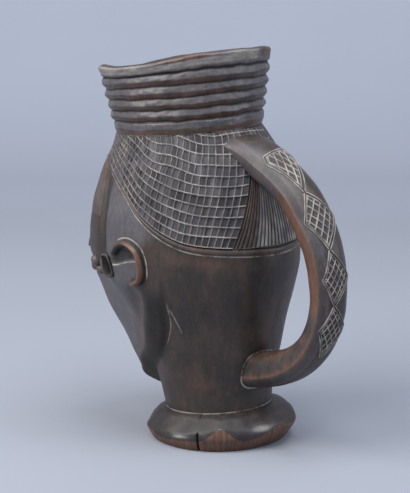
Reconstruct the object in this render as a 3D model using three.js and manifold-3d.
// Palm wine cup carved as a head, with a foot, a ribbed collar for a mouth and a strap handle.
// The real cup is cut from one block of hardwood. Each carved member is a solid of its own here,
// parted from its neighbour along the line where the carver ended one form and began the next.
// Millimetres. +Z is up, the face looks along -Y, the handle is on +Y, the head's left is +X.
// The origin is the middle of the flat underside of the foot.

import * as THREE from 'three';
import { mergeVertices } from 'three/addons/utils/BufferGeometryUtils.js';
import Module from 'manifold-3d';

const wasm = await Module();
wasm.setup();

// Driving dimensions
const SEAT_GAP = 0.3;            // clear space between two members that touch
const FOOT_TOP = 16.8;           // height where the foot meets the neck, on the axis
const HEAD_TOP = 159.8;          // height of the seat of the collar, on the head's axis
const FOOT_RADIUS = 38.7;
const FOOT_BASE_RADIUS = 35;
const NECK_RADIUS = 27.4;
const COLLAR_BASE_RADIUS = 37.3;
const COLLAR_RIM_RADIUS = 44.5;
const COLLAR_HEIGHT = 36.5;
const COLLAR_LEAN = -4.1;        // how far the rim's centre lies in front of the base's centre
const RIM_DIP = 2.8;             // the hand-cut rim is lower over the left of the face
const RIM_DIP_ANGLE = 50;        // middle of that dip, in degrees from the face
const LIP_THICKNESS = 5.6;
const WALL = 9;                  // wood left between the cavity and the outside of the head
const CAVITY_FLOOR = 36;
const HAIR_RELIEF = 1.5;         // how far the dressed hair stands above the bare skin
const BAND_RELIEF = 1.2;
const BAND_WIDTH = 3.4;
const HANDLE_WIDTH = 21;
const HANDLE_THICKNESS = 12.4;

const DEG = Math.PI / 180;

// The head's plan at each height: centre on Y, half depth and half width of its ellipse
const HEAD_STATIONS = [
  { z: FOOT_TOP, centre: -0.6, depth: NECK_RADIUS, width: NECK_RADIUS },
  { z: 30, centre: -2.4, depth: 29.7, width: 29.7 },
  { z: 48, centre: -4, depth: 34.8, width: 34.4 },
  { z: 63, centre: -7.5, depth: 40.6, width: 39.8 },
  { z: 80, centre: -13, depth: 49.8, width: 47.4 },
  { z: 93, centre: -17.6, depth: 57.4, width: 50.6 },
  { z: 106, centre: -18.4, depth: 57.4, width: 51 },
  { z: 118, centre: -18.4, depth: 55.6, width: 50 },
  { z: 131, centre: -18.4, depth: 51.6, width: 47.2 },
  { z: 143.6, centre: -19, depth: 46.4, width: 43.6 },
  { z: 152, centre: -20, depth: 41, width: 39.8 },
  { z: HEAD_TOP, centre: -22, depth: 36.6, width: 36.4 },
];

// The face wedge in front of the neck: distance from the axis and facing angle of its planes
const FACE_STATIONS = [
  { z: 24, front: 29, cheekAngle: 60, cheek: 23, jawAngle: 81, jaw: 17, crease: 36 },
  { z: 28.3, front: 45.4, cheekAngle: 60, cheek: 34, jawAngle: 81, jaw: 22.4, crease: 43 },
  { z: 32, front: 48.8, cheekAngle: 60, cheek: 35.4, jawAngle: 81, jaw: 24.4, crease: 52 },
  { z: 40, front: 51.6, cheekAngle: 63, cheek: 36.6, jawAngle: 82, jaw: 30.4, crease: 70 },
  { z: 48, front: 54, cheekAngle: 65, cheek: 37.8, jawAngle: 86, jaw: 36, crease: 86 },
  { z: 63, front: 57, cheekAngle: 68, cheek: 41.2, jawAngle: 94, jaw: 42.4, crease: 104.5 },
  { z: 78, front: 58.6, cheekAngle: 69, cheek: 43.6, jawAngle: 100, jaw: 49, crease: 111 },
  { z: 93, front: 59, cheekAngle: 70, cheek: 48, jawAngle: 104, jaw: 52, crease: 116 },
];

// The foot's top, the collar's seat and its rim lean: rise per millimetre along X and Y
const FOOT_SLOPE = { x: -0.021, y: 0.062 };
const FOOT_LEAN_ENDS = 30;       // height where the neck has lost the foot's lean
const SEAT_SLOPE = { x: -0.047, y: 0.06 };
const RIM_SLOPE = { x: -0.013, y: 0.135 };

// The hairline on the side of the head, as angle from the face and height
const HAIRLINE = [
  { angle: 57, z: 146 },
  { angle: 70, z: 142 },
  { angle: 87, z: 133 },
  { angle: 101, z: 122.5 },
  { angle: 115, z: 114 },
  { angle: 130, z: 108.2 },
  { angle: 150, z: 105.8 },
  { angle: 180, z: 104.4 },
];
const CREASE_FACING = 50 * DEG;  // how sharply the jaw turns in to the neck behind it
const FOREHEAD_LINE = 117;
const HEAD_COLUMNS = 56;
const GROOVE_COLUMN = 11 * 360 / HEAD_COLUMNS;   // the evenly spaced column that the groove takes
const TEMPLE_GROOVE = [
  { z: 88, angle: 71 },
  { z: 118, angle: 69 },
  { z: 130, angle: 66 },
  { z: 146, angle: 57 },
];

// The handle's middle line in the plane of symmetry
const HANDLE_LINE = [
  [4, 151], [16, 152.6], [30, 149.5], [44, 142], [56, 133], [64.5, 122], [71, 109], [74, 96],
  [74.5, 84], [73, 73], [68.2, 61.6], [59.8, 51.9], [48.4, 45], [35, 40.8], [18, 38],
];

// Half of the strap's section, from the middle of its back over the bevel's ridge to its inside,
// as shares of half its width and half its thickness
const HANDLE_SECTION = [
  [0, 1], [0.36, 0.97], [0.7, 0.8], [0.92, 0.55], [1, 0.36],
  [0.99, 0], [0.93, -0.45], [0.78, -0.8], [0.45, -0.97], [0, -1],
];

// Small maths
const clamp01 = (t) => Math.min(1, Math.max(0, t));
const smoothstep = (lo, hi, t) => {
  const s = clamp01((t - lo) / (hi - lo));
  return s * s * (3 - 2 * s);
};
const lerp = THREE.MathUtils.lerp;
const softMin = (a, b, k) => {
  const h = clamp01(0.5 + 0.5 * (b - a) / k);
  return lerp(b, a, h) - k * h * (1 - h);
};
const softMax = (a, b, k) => -softMin(-a, -b, k);

// Smooth curve through a list of stations, read at `at` along their key
function follow(stations, key, at, value) {
  const last = stations.length - 1;
  if (at <= stations[0][key]) return stations[0][value];
  if (at >= stations[last][key]) return stations[last][value];
  const i = stations.findIndex((s) => s[key] > at) - 1;
  const slope = (j) => {
    const lo = stations[Math.max(0, j - 1)];
    const hi = stations[Math.min(last, j + 1)];
    return (hi[value] - lo[value]) / (hi[key] - lo[key]);
  };
  const from = stations[i];
  const to = stations[i + 1];
  const span = to[key] - from[key];
  const t = (at - from[key]) / span;
  const t2 = t * t;
  const t3 = t2 * t;
  return (2 * t3 - 3 * t2 + 1) * from[value] + (t3 - 2 * t2 + t) * span * slope(i)
    + (3 * t2 - 2 * t3) * to[value] + (t3 - t2) * span * slope(i + 1);
}

// Distance to an ellipse's edge at an angle from the face
function ellipseReach(angle, depth, width) {
  return 1 / Math.hypot(Math.cos(angle) / depth, Math.sin(angle) / width);
}

// Distance from the head's axis to the bare skin. The angle is in radians from the face.
function skinReach(angle, z) {
  const side = Math.abs(Math.atan2(Math.sin(angle), Math.cos(angle)));
  const depth = follow(HEAD_STATIONS, 'z', z, 'depth');
  const width = follow(HEAD_STATIONS, 'z', z, 'width');
  let reach = ellipseReach(side, depth, width);
  const faceEnd = 96;
  if (z < faceEnd) {
    const plane = (distance, facing) => {
      const turn = side - follow(FACE_STATIONS, 'z', z, facing) * DEG;
      return follow(FACE_STATIONS, 'z', z, distance) / Math.max(0.12, Math.cos(turn));
    };
    const front = follow(FACE_STATIONS, 'z', z, 'front') / Math.max(0.12, Math.cos(side));
    let wedge = softMin(front, plane('cheek', 'cheekAngle'), 7);
    wedge = softMin(wedge, plane('jaw', 'jawAngle'), 1.6);
    const crease = follow(FACE_STATIONS, 'z', z, 'crease') * DEG;
    const neck = ellipseReach(crease, depth, width);
    const turn = Math.min(0, side - crease - CREASE_FACING);
    const turnedIn = neck * Math.cos(CREASE_FACING) / Math.max(0.2, Math.cos(turn));
    wedge = softMin(wedge, turnedIn, 2);
    const joined = softMax(reach, wedge, 1.2);
    reach = lerp(joined, reach, smoothstep(78, faceEnd, z));
  }
  const groove = follow(TEMPLE_GROOVE, 'z', z, 'angle') * DEG;
  const run = smoothstep(86, 96, z) * (1 - smoothstep(142, 150, z));
  const across = (side - groove) / (3.2 * DEG);
  const panel = 1 - smoothstep(groove - 9 * DEG, groove, side);
  return reach + run * (0.6 * panel - 1.5 * Math.exp(-across * across));
}

// A point on the skin, moved outwards by `proud`
function skinPoint(angle, z, proud = 0) {
  const at = (a, h) => {
    const reach = skinReach(a, h);
    const centre = follow(HEAD_STATIONS, 'z', h, 'centre');
    const x = reach * Math.sin(a);
    const y = -reach * Math.cos(a);
    const seat = smoothstep(93, HEAD_TOP, h);
    const foot = 1 - smoothstep(FOOT_TOP, FOOT_LEAN_ENDS, h);
    const leanX = seat * SEAT_SLOPE.x + foot * FOOT_SLOPE.x;
    const leanY = seat * SEAT_SLOPE.y + foot * FOOT_SLOPE.y;
    return new THREE.Vector3(x, centre + y, h + leanX * x + leanY * y);
  };
  const point = at(angle, z);
  if (proud === 0) return point;
  const step = 0.01;
  const rise = 0.3;
  const around = at(angle + step, z).sub(at(angle - step, z));
  const up = at(angle, Math.min(z + rise, HEAD_TOP)).sub(at(angle, z - rise));
  return point.addScaledVector(around.cross(up).normalize(), proud);
}

// Turns evenly spaced columns so that one of them runs down the groove at each temple
function column(angle, z) {
  const side = Math.abs(angle);
  const groove = follow(TEMPLE_GROOVE, 'z', z, 'angle') * DEG;
  const even = GROOVE_COLUMN * DEG;
  const ahead = side * groove / even;
  const behind = groove + (side - even) * (Math.PI - groove) / (Math.PI - even);
  return Math.sign(angle) * (side < even ? ahead : behind);
}

// Moves every corner of a plain closed shape and merges the seams, so that it stays closed
function bend(geometry, move) {
  const position = geometry.attributes.position;
  const p = new THREE.Vector3();
  for (let i = 0; i < position.count; i += 1) {
    p.fromBufferAttribute(position, i);
    const q = move(p);
    position.setXYZ(i, q.x, q.y, q.z);
  }
  geometry.deleteAttribute('normal');
  geometry.deleteAttribute('uv');
  return mergeVertices(geometry, 1e-4);
}

// A drum of unit radius, from 0 to 1 along Z, whose corners are placed by angle, reach and height
function drum(around, up, place) {
  const blank = new THREE.CylinderGeometry(1, 1, 1, around, up);
  blank.rotateX(Math.PI / 2);
  blank.translate(0, 0, 0.5);
  return bend(blank, (p) => place(Math.atan2(p.x, -p.y), Math.hypot(p.x, p.y), p.z));
}

// A slab that lies on the skin: `across` gives angle and height for u and v, `rise` the height
function relief(nu, nv, across, rise, surface = skinPoint, seat = SEAT_GAP) {
  const blank = new THREE.BoxGeometry(1, 1, 1, nu, nv, 1);
  return bend(blank, (p) => {
    const u = p.x + 0.5;
    const v = p.y + 0.5;
    const [a, h] = across(u, v);
    return surface(a, h, p.z > 0 ? rise(u, v) : seat);
  });
}

function solid(geometry) {
  const mesh = new wasm.Mesh({
    numProp: 3,
    vertProperties: new Float32Array(geometry.attributes.position.array),
    triVerts: new Uint32Array(geometry.index.array),
  });
  return new wasm.Manifold(mesh);
}

function surfaceOf(manifold) {
  const mesh = manifold.getMesh();
  const geometry = new THREE.BufferGeometry();
  geometry.setAttribute('position', new THREE.BufferAttribute(new Float32Array(mesh.vertProperties), 3));
  geometry.setIndex(new THREE.BufferAttribute(new Uint32Array(mesh.triVerts), 1));
  return geometry;
}

// Woods and how they look
function wood(color, roughness) {
  return new THREE.MeshStandardMaterial({ color, roughness, metalness: 0 });
}
const DARK_WOOD = wood('#3d3837', 0.45);
const WORN_WOOD = wood('#5b4036', 0.4);
const HAIR_WOOD = wood('#5a5856', 0.7);
const SKIN_WOOD = wood('#47454a', 0.42);

const cup = new THREE.Group();
function add(name, geometry, material) {
  const mesh = new THREE.Mesh(geometry, material.clone());
  geometry.computeVertexNormals();
  mesh.name = name;
  cup.add(mesh);
  return mesh;
}

// Foot: a low disc with hand-cut facets and a drying crack, fuller at the right of its back
const FOOT_SPREAD = 0.047;       // how much wider the disc is there
const FOOT_FLAT = 0.05;          // how far its base is cut in under the handle
const CRACK = { length: 26, width: 0.9, tip: 0.15, angle: 27, radius: 32 };
function makeFoot() {
  const outline = [
    [0, 0], [FOOT_BASE_RADIUS, 0], [36.3, 1.8], [37.6, 4.4], [FOOT_RADIUS, 6.6], [36.6, 11.3],
    [32.6, 15], [NECK_RADIUS + 0.6, FOOT_TOP], [0, FOOT_TOP],
  ];
  const cuts = 32;
  const turned = new THREE.LatheGeometry(outline.map(([r, z]) => new THREE.Vector2(r, z)), cuts);
  turned.rotateX(Math.PI / 2);
  const body = bend(turned, (p) => {
    const angle = Math.atan2(p.x, p.y);
    const radius = Math.max(1, Math.hypot(p.x, p.y));
    const right = Math.max(0, (p.y - p.x) * Math.SQRT1_2 / radius) ** 2;
    const back = Math.max(0, p.y / radius) ** 4;
    const raised = smoothstep(0.5, 7, p.z);
    const bulge = smoothstep(0.5, 6, p.z) * (1 - smoothstep(9, FOOT_TOP - 1, p.z));
    const facets = 0.008 * bulge * (1 + Math.sin(angle * 7 + 1) + Math.sin(angle * 13));
    const cut = 1 - facets + FOOT_SPREAD * right * raised - FOOT_FLAT * back * (1 - raised);
    const lean = raised * (FOOT_SLOPE.x * p.x + FOOT_SLOPE.y * p.y);
    return new THREE.Vector3(p.x * cut, p.y * cut, p.z + lean);
  });
  const wedge = new THREE.BoxGeometry(CRACK.length, CRACK.width, 2 * FOOT_TOP, 1, 1, 1);
  const blade = bend(wedge, (p) => {
    const taper = p.x > 0 ? 1 : CRACK.tip;
    return new THREE.Vector3(p.x, p.y * taper, p.z);
  });
  blade.translate(CRACK.radius, 0, FOOT_TOP / 2);
  blade.rotateZ(CRACK.angle * DEG);
  return surfaceOf(solid(body).subtract(solid(blade)));
}

// The levels lie closer together low down, where the chin turns under
const HEAD_LEVELS = 30;
const headLevel = (t) => t ** 1.15;

// Head and neck in one shell, open at the top where the collar sits
function makeHeadCup() {
  const outer = drum(HEAD_COLUMNS, HEAD_LEVELS, (angle, reach, t) => {
    const z = lerp(FOOT_TOP + SEAT_GAP, HEAD_TOP, headLevel(t));
    const rim = skinPoint(column(angle, z), z);
    const axis = new THREE.Vector3(0, follow(HEAD_STATIONS, 'z', z, 'centre'), z);
    return axis.lerp(rim, reach);
  });
  const cavity = drum(32, 12, (angle, reach, t) => {
    const z = lerp(CAVITY_FLOOR, HEAD_TOP + 6, t);
    const round = Math.sqrt(1 - (1 - clamp01(t / 0.2 + 0.04)) ** 2);
    const wall = lerp(WALL, LIP_THICKNESS + 1.4, smoothstep(120, HEAD_TOP, z));
    const depth = (follow(HEAD_STATIONS, 'z', z, 'depth') - wall) * round;
    const width = (follow(HEAD_STATIONS, 'z', z, 'width') - wall) * round;
    const r = ellipseReach(angle, depth, width) * reach;
    const centre = follow(HEAD_STATIONS, 'z', z, 'centre');
    const x = r * Math.sin(angle);
    const y = -r * Math.cos(angle);
    return new THREE.Vector3(x, centre + y, z);
  });
  return surfaceOf(solid(outer).subtract(solid(cavity)));
}

// Collar: a flaring ring with a plain base band, four round ribs and a tall rim band
const RIBS = [
  { from: 0.19, to: 0.335 },
  { from: 0.335, to: 0.485 },
  { from: 0.485, to: 0.64 },
  { from: 0.64, to: 0.8 },
];
function collarOutline() {
  const wall = (t) => lerp(COLLAR_BASE_RADIUS, COLLAR_RIM_RADIUS, t ** 0.95);
  const points = [];
  const put = (r, t) => points.push(new THREE.Vector2(r, t * COLLAR_HEIGHT));
  put(wall(0) - LIP_THICKNESS - 1.2, 0);
  put(wall(0), 0);
  put(wall(0.03) + 0.5, 0.04);
  put(wall(0.16) + 0.3, 0.15);
  for (const rib of RIBS) {
    const height = rib.to - rib.from;
    put(wall(rib.from) - 1.1, rib.from);
    put(wall(rib.from) + 0.5, rib.from + 0.22 * height);
    put(wall(rib.to) + 0.7, rib.from + 0.58 * height);
    put(wall(rib.to) + 0.1, rib.from + 0.86 * height);
  }
  put(wall(0.8) - 0.7, 0.8);
  put(wall(0.85) + 0.1, 0.84);
  put(wall(1) - 0.2, 0.97);
  put(wall(1) - 1, 1);
  put(wall(1) - LIP_THICKNESS, 1);
  put(wall(0.5) - LIP_THICKNESS - 0.6, 0.5);
  points.push(points[0].clone());
  return points;
}
function makeCollar() {
  const ring = new THREE.LatheGeometry(collarOutline(), 40);
  ring.rotateX(Math.PI / 2);
  const base = HEAD_STATIONS[HEAD_STATIONS.length - 1];
  return bend(ring, (p) => {
    const t = p.z / COLLAR_HEIGHT;
    const slopeX = lerp(SEAT_SLOPE.x, RIM_SLOPE.x, t);
    const slopeY = lerp(SEAT_SLOPE.y, RIM_SLOPE.y, t);
    const turn = Math.atan2(p.x, -p.y) - RIM_DIP_ANGLE * DEG;
    const away = Math.acos(Math.cos(turn)) / DEG;
    const dip = RIM_DIP * smoothstep(0.7, 1, t) * (1 - smoothstep(50, 100, away));
    const z = HEAD_TOP + SEAT_GAP + p.z + slopeX * p.x + slopeY * p.y - dip;
    return new THREE.Vector3(p.x, base.centre + COLLAR_LEAN * t + p.y, z);
  });
}

// A plain drum round the collar, which keeps the root of the handle clear of it
function makeCollarCore() {
  const { centre } = HEAD_STATIONS[HEAD_STATIONS.length - 1];
  return solid(drum(40, 1, (angle, reach, t) => {
    const r = (COLLAR_BASE_RADIUS + 1.2) * reach;
    const x = r * Math.sin(angle);
    const y = -r * Math.cos(angle);
    return new THREE.Vector3(x, centre + y, HEAD_TOP - 0.2 + 20 * t + SEAT_SLOPE.x * x + SEAT_SLOPE.y * y);
  }));
}

// Hair, hairline and nape
const hairlineAt = (degrees) => follow(HAIRLINE, 'angle', degrees, 'z');
const templeEdge = (z) => follow(TEMPLE_GROOVE, 'z', z, 'angle') - 4;
const foldAngle = (degrees) => (degrees > 180 ? 360 - degrees : degrees);
const HAIR_TOP = HEAD_TOP - 0.4;
const FAN_HALF_SLOPE = 0.475;
const FAN_APEX = 156;

// Half the angle that the fan of the nape takes up at a height
function fanAngle(z) {
  const reach = follow(HEAD_STATIONS, 'z', z, 'depth');
  return Math.asin(clamp01(FAN_HALF_SLOPE * (FAN_APEX - z) / reach)) / DEG;
}

function makeCoiffure() {
  return relief(50, 8, (u, v) => {
    const side = lerp(-1, 1, u);
    const bottomAt = (degrees) => {
      const d = Math.abs(degrees);
      return d < 57 ? HAIRLINE[0].z + SEAT_GAP : hairlineAt(d) + SEAT_GAP;
    };
    const reachBack = (z) => 179 - fanAngle(z);
    let z = lerp(120, HAIR_TOP, v);
    let degrees = side * reachBack(z);
    for (let i = 0; i < 6; i += 1) {
      z = lerp(bottomAt(degrees), HAIR_TOP, v);
      degrees = side * reachBack(z);
    }
    return [degrees * DEG, z];
  }, () => HAIR_RELIEF, skinPoint, 0.42);
}

function makeFrontalHair() {
  return relief(20, 6, (u, v) => {
    const z = lerp(FOREHEAD_LINE, HAIRLINE[0].z - SEAT_GAP / 2, v);
    return [lerp(-1, 1, u) * templeEdge(z) * DEG, z];
  }, () => HAIR_RELIEF * 0.9, skinPoint, 0.45);
}

function makeHairlineBand() {
  return relief(48, 2, (u, v) => {
    const degrees = lerp(60, 300, u);
    const edge = hairlineAt(foldAngle(degrees));
    return [degrees * DEG, edge - lerp(BAND_WIDTH, SEAT_GAP, v)];
  }, (u, v) => (Math.abs(v - 0.5) < 0.1 ? BAND_RELIEF : BAND_RELIEF * 0.7));
}

function makeNapeFan() {
  return relief(14, 8, (u, v) => {
    const z = lerp(hairlineAt(158) + SEAT_GAP, FAN_APEX - 8, v);
    return [(180 + lerp(-1, 1, u) * (fanAngle(z) - 0.6)) * DEG, z];
  }, () => HAIR_RELIEF * 0.8);
}

// Handle: a strap with a decorated back, a bevel that ends in a ridge and a rounded inside
const HANDLE_CURVE = new THREE.CatmullRomCurve3(HANDLE_LINE.map(([y, z]) => new THREE.Vector3(0, y, z)));
const INNER_SWELL = 1.4;         // the inside is thicker where the fingers rest
function handleFrame(t) {
  const point = HANDLE_CURVE.getPoint(clamp01(t));
  const along = HANDLE_CURVE.getTangent(clamp01(t));
  const out = new THREE.Vector3(0, -along.z, along.y);
  return { point, out };
}
function handleSize(t) {
  const topFlare = 1 - smoothstep(0, 0.3, t);
  const rootSwell = smoothstep(0.64, 0.92, t);
  const grip = smoothstep(0.36, 0.46, t) * (1 - smoothstep(0.5, 0.58, t));
  const thick = HANDLE_THICKNESS / 2 + 2.8 * rootSwell;
  return {
    half: HANDLE_WIDTH / 2 + 7.5 * topFlare * topFlare + 0.4 * rootSwell,
    outside: thick,
    inside: thick + INNER_SWELL * grip,
  };
}
function makeHandle(head, collar) {
  const around = 2 * (HANDLE_SECTION.length - 1);
  const strap = drum(around, 36, (angle, reach, t) => {
    const { point, out } = handleFrame(1 - t);
    const { half, outside, inside } = handleSize(1 - t);
    const [wide, deep] = HANDLE_SECTION[Math.round(Math.abs(angle) * around / (2 * Math.PI))];
    const p = point.clone().addScaledVector(out, deep * (deep > 0 ? outside : inside) * reach);
    p.x = -Math.sign(angle) * wide * half * reach;
    return p;
  });
  return surfaceOf(solid(strap).subtract(head).subtract(collar));
}

function makeHead(proud) {
  return solid(drum(HEAD_COLUMNS, HEAD_LEVELS, (angle, reach, t) => {
    const z = lerp(FOOT_TOP, HEAD_TOP + 1, headLevel(t));
    const rim = skinPoint(column(angle, z), Math.min(z, HEAD_TOP), proud);
    rim.z = lerp(rim.z, z, t > 0.98 ? 1 : 0);
    const axis = new THREE.Vector3(0, follow(HEAD_STATIONS, 'z', z, 'centre'), z);
    return axis.lerp(rim, reach);
  }));
}

// The strap's decorated back: chained lozenges, raised a little. The top one is cut short.
const LOZENGE_ENDS = [0.165, 0.295, 0.44, 0.585, 0.735];
const LOZENGE_HALF = 9.4;
const LOZENGE_NECK = 4.2;
const LOZENGE_RISE = 1;
const LOZENGE_SEAT = 0.52;       // clears the strap's rounded back between two corners of the band
function lozengeHalf(index, share) {
  const corner = index === 0 ? 0.17 : 0.5;
  const start = index === 0 ? 7 : LOZENGE_NECK;
  return share < corner
    ? lerp(start, LOZENGE_HALF, share / corner)
    : lerp(LOZENGE_HALF, LOZENGE_NECK, (share - corner) / (1 - corner));
}
function makeLozengeBand() {
  const back = (x, t, proud) => {
    const { point, out } = handleFrame(t);
    const { half, outside } = handleSize(t);
    const share = Math.abs(x) / half;
    const next = Math.max(1, HANDLE_SECTION.findIndex(([wide]) => wide >= share));
    const [[x0, out0], [x1, out1]] = [HANDLE_SECTION[next - 1], HANDLE_SECTION[next]];
    const crown = outside * lerp(out0, out1, (share - x0) / (x1 - x0));
    return new THREE.Vector3(x, point.y, point.z).addScaledVector(out, crown + proud);
  };
  const lozenges = LOZENGE_ENDS.length - 1;
  return relief(lozenges * 4, 8, (u, v) => {
    const index = Math.min(lozenges - 1, Math.floor(u * lozenges + 1e-6));
    const share = clamp01(u * lozenges - index);
    const t = lerp(LOZENGE_ENDS[index], LOZENGE_ENDS[index + 1], share);
    return [lerp(1, -1, v) * lozengeHalf(index, share), t];
  }, () => LOZENGE_RISE, back, LOZENGE_SEAT);
}

// Ears, temples and face
const SIDES = [
  { name: 'left', sign: 1 },
  { name: 'right', sign: -1 },
];
const SIDE_REACH = 50;           // turns millimetres round the head into an angle

// Lays a small plain shape on the skin: X runs round the head, Y up and Z out
function lay(geometry, degrees, height, sign) {
  const laid = bend(geometry, (p) => {
    const angle = degrees * DEG + p.x / SIDE_REACH;
    return skinPoint(angle, height + p.y, SEAT_GAP + Math.max(0, p.z));
  });
  return sign > 0 ? laid : mirrored(laid);
}

function mirrored(geometry) {
  geometry.scale(-1, 1, 1);
  const index = geometry.index.array;
  for (let i = 0; i < index.length; i += 3) {
    [index[i], index[i + 1]] = [index[i + 1], index[i]];
  }
  return geometry;
}

// A rounded ridge along a curve on the skin
function ridge(points, width, height, steps, sign) {
  const path = new THREE.CatmullRomCurve3(points.map(([x, y]) => new THREE.Vector3(x, y, 0)));
  const blank = relief(steps, 4, (u, v) => {
    const at = path.getPoint(u);
    const along = path.getTangent(u);
    const half = (v - 0.5) * width(u);
    return [(at.x - along.y * half) / SIDE_REACH, at.y + along.x * half];
  }, (u, v) => 0.6 + (height(u) - 0.6) * Math.sin(Math.PI * v));
  return sign > 0 ? blank : mirrored(blank);
}

const onSide = (degrees, z) => [degrees * DEG * SIDE_REACH, z];
const EAR_LINE = [
  onSide(80.5, 98.6), onSide(87.4, 104.6), onSide(94, 105.6), onSide(99.8, 102.8),
  onSide(101.6, 97.4), onSide(101.2, 92), onSide(98, 87.6), onSide(92.5, 86),
];
const BROW_LINE = [onSide(7, 94.5), onSide(15, 98.6), onSide(25, 99.4), onSide(36, 96)];

function makeEar(sign) {
  const width = (u) => lerp(2.6, 3.7, smoothstep(0, 0.3, u)) + 0.6 * smoothstep(0.85, 1, u);
  const height = (u) => lerp(1.6, 4.2, smoothstep(0, 0.35, u)) - 0.8 * smoothstep(0.85, 1, u);
  return ridge(EAR_LINE, width, height, 14, sign);
}

function makeBrow(sign) {
  const taper = (u) => Math.sin(Math.PI * lerp(0.12, 0.88, u));
  return ridge(BROW_LINE, (u) => 1.2 + 2.2 * taper(u), (u) => 0.8 + 1.1 * taper(u), 10, sign);
}

function makeTempleRing(sign) {
  const ring = new THREE.TorusGeometry(2.9, 1.5, 6, 14);
  ring.scale(1, 1.5, 1.9);
  return lay(ring, 71.5, 91.5, sign);
}

function makeTempleBead(height, radius, sign) {
  return lay(new THREE.SphereGeometry(radius, 10, 6), 61, height, sign);
}

function makeEye(sign) {
  const almond = new THREE.SphereGeometry(1, 14, 8);
  almond.scale(8.5, 3.2, 2.4);
  return lay(almond, 22, 84, sign);
}

function makeNose() {
  return relief(8, 10, (u, v) => {
    const half = lerp(8, 3, smoothstep(0, 0.75, v));
    return [(u - 0.5) * 2 * half / SIDE_REACH, lerp(61, 92, v)];
  }, (u, v) => {
    const ridgeHeight = lerp(9.5, 2, v) * smoothstep(-0.25, 0.12, v);
    return 0.7 + ridgeHeight * Math.sin(Math.PI * u) ** 0.8;
  });
}

function makeMouth() {
  return relief(12, 6, (u, v) => {
    const x = lerp(-1, 1, u);
    const open = 4.4 * (1 - 0.75 * x * x);
    return [x * 10.5 / SIDE_REACH, 49.5 + lerp(-1, 1, v) * open];
  }, (u, v) => {
    const x = lerp(-1, 1, u);
    const lips = Math.abs(Math.sin(2 * Math.PI * v));
    return 0.7 + 2.6 * lips * (1 - x * x);
  });
}

const headClear = makeHead(HAIR_RELIEF + SEAT_GAP);
const collar = makeCollar();

add('foot', makeFoot(), DARK_WOOD);
add('head_cup', makeHeadCup(), DARK_WOOD);
add('collar', collar, SKIN_WOOD);
add('coiffure', makeCoiffure(), HAIR_WOOD);
add('frontal_hair', makeFrontalHair(), HAIR_WOOD);
add('nape_fan', makeNapeFan(), HAIR_WOOD);
add('hairline_band', makeHairlineBand(), WORN_WOOD);
add('handle', makeHandle(headClear, makeCollarCore()), WORN_WOOD);
add('handle_lozenge_band', makeLozengeBand(), HAIR_WOOD);
for (const { name, sign } of SIDES) {
  add(`ear_${name}`, makeEar(sign), WORN_WOOD);
  add(`brow_${name}`, makeBrow(sign), SKIN_WOOD);
  add(`eye_${name}`, makeEye(sign), SKIN_WOOD);
  add(`temple_ring_${name}`, makeTempleRing(sign), DARK_WOOD);
  add(`temple_bead_upper_${name}`, makeTempleBead(95.5, 2.5, sign), DARK_WOOD);
  add(`temple_bead_lower_${name}`, makeTempleBead(89.2, 2.2, sign), DARK_WOOD);
}
add('nose', makeNose(), SKIN_WOOD);
add('mouth', makeMouth(), SKIN_WOOD);

export default cup;
